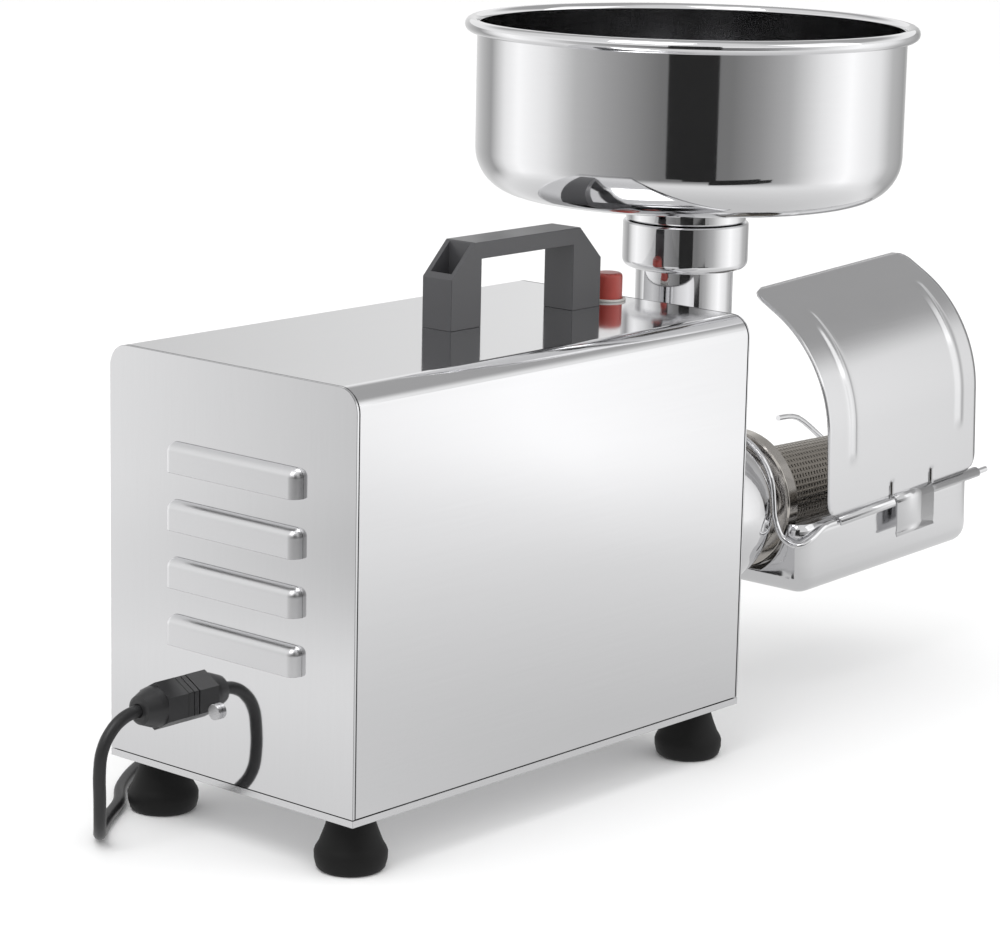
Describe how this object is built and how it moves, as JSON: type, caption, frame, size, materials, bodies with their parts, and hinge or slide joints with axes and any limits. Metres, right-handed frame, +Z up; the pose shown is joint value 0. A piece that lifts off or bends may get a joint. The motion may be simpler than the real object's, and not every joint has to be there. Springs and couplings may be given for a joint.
{
  "type": "electric tomato press",
  "caption": "sheet steel housing with a geared motor that turns an auger in a perforated strainer under a round hopper bowl, with a drip tray and splash guard",
  "frame": {"origin": "on the floor, under the middle of the machine's length, from the louvres to the waste end of the strainer, without its lead", "axes": "+X runs from the rear panel to the waste end of the strainer, +Y is the side away from the splash guard, +Z is up"},
  "size_m": [0.5433, 0.2765, 0.33],
  "materials": {
    "housing_steel": "satin polished sheet",
    "polished_steel": "polished",
    "fastener_steel": "zinc plated",
    "cast_metal": "die cast",
    "shaft_steel": "ground",
    "lamination_steel": "stacked sheet",
    "winding_varnish": "varnished wire",
    "gear_plastic": "moulded",
    "handle_plastic": "fine grained",
    "red_plastic": "smooth",
    "pale_plastic": "smooth",
    "dark_plastic": "moulded",
    "auger_plastic": "moulded",
    "rubber": "matt",
    "cord_rubber": "smooth",
    "brass": "bright"
  },
  "bodies": {
    "machine": {"base_plate": "housing_steel", "housing_cover": "housing_steel", "rear_panel": "polished_steel", "front_panel": "housing_steel", "rubber_feet": "rubber", "foot_screws": "fastener_steel", "foot_nuts": "fastener_steel", "carrying_handle": "handle_plastic", "handle_screws": "fastener_steel", "handle_nuts": "fastener_steel", "button_bezel": "pale_plastic", "button_nut": "fastener_steel", "switch_body": "dark_plastic", "earth_screw": "fastener_steel", "motor_cradle": "fastener_steel", "motor_stator": "lamination_steel", "stator_windings": "winding_varnish", "rear_end_bell": "cast_metal", "front_end_bell": "cast_metal", "motor_tie_rods": "fastener_steel", "motor_bearings": "shaft_steel", "gearbox_case": "cast_metal", "gearbox_cover": "cast_metal", "gearbox_screws": "fastener_steel", "gearbox_bearings": "shaft_steel", "shaft_seal": "rubber", "run_capacitor": "pale_plastic", "capacitor_strap": "fastener_steel", "terminal_block": "pale_plastic", "milling_body": "polished_steel", "body_screws": "fastener_steel", "wire_rails": "polished_steel", "gland_body": "dark_plastic", "gland_nut": "dark_plastic", "gland_locknut": "dark_plastic", "power_lead": "cord_rubber", "lead_coil": "cord_rubber", "lead_plug": "cord_rubber", "plug_pins": "brass"},
    "rotor": {"rotor_core": "cast_metal", "rotor_shaft": "shaft_steel", "cooling_fan": "dark_plastic", "motor_pinion": "shaft_steel"},
    "layshaft": {"second_shaft": "shaft_steel", "first_gear": "gear_plastic", "second_pinion": "shaft_steel"},
    "drive": {"output_gear": "shaft_steel", "output_shaft": "shaft_steel", "auger": "auger_plastic"},
    "button": {"start_button": "red_plastic"},
    "strainer": {"strainer_ring": "polished_steel", "strainer_screen": "polished_steel"},
    "tray": {"drip_tray": "housing_steel"},
    "guard": {"splash_guard": "housing_steel"},
    "bowl": {"hopper_bowl": "polished_steel"}
  },
  "joints": [
    {"name": "rotor_spin", "type": "hinge", "parent": "machine", "child": "rotor", "pos_m": [-0.15, 0, 0.095], "axis": [1, 0, 0], "continuous": true},
    {"name": "layshaft_spin", "type": "hinge", "parent": "machine", "child": "layshaft", "pos_m": [-0.05, 0, 0.14], "axis": [1, 0, 0], "continuous": true},
    {"name": "auger_spin", "type": "hinge", "parent": "machine", "child": "drive", "pos_m": [0.1, 0, 0.095], "axis": [1, 0, 0], "continuous": true},
    {"name": "button_push", "type": "slide", "parent": "machine", "child": "button", "axis": [0, 0, -1], "range_m": [0, 0.003], "stiffness_N_per_m": 300, "springref_m": -0.003},
    {"name": "strainer_twist", "type": "hinge", "parent": "machine", "child": "strainer", "pos_m": [0.12, 0, 0.095], "axis": [1, 0, 0], "range_deg": [-30, 0]},
    {"name": "tray_slide", "type": "slide", "parent": "machine", "child": "tray", "axis": [0.9985, 0, 0.0541], "range_m": [0, 0.165]},
    {"name": "guard_lift", "type": "slide", "parent": "tray", "child": "guard", "axis": [-0.0541, 0, 0.9985], "range_m": [0, 0.03]},
    {"name": "bowl_lift", "type": "slide", "parent": "machine", "child": "bowl", "axis": [0, 0, 1], "range_m": [0, 0.06]}
  ],
  "couplings": [
    {"joint": "layshaft_spin", "follows": "rotor_spin", "ratio": -0.30435},
    {"joint": "auger_spin", "follows": "rotor_spin", "ratio": 0.11067}
  ]
}
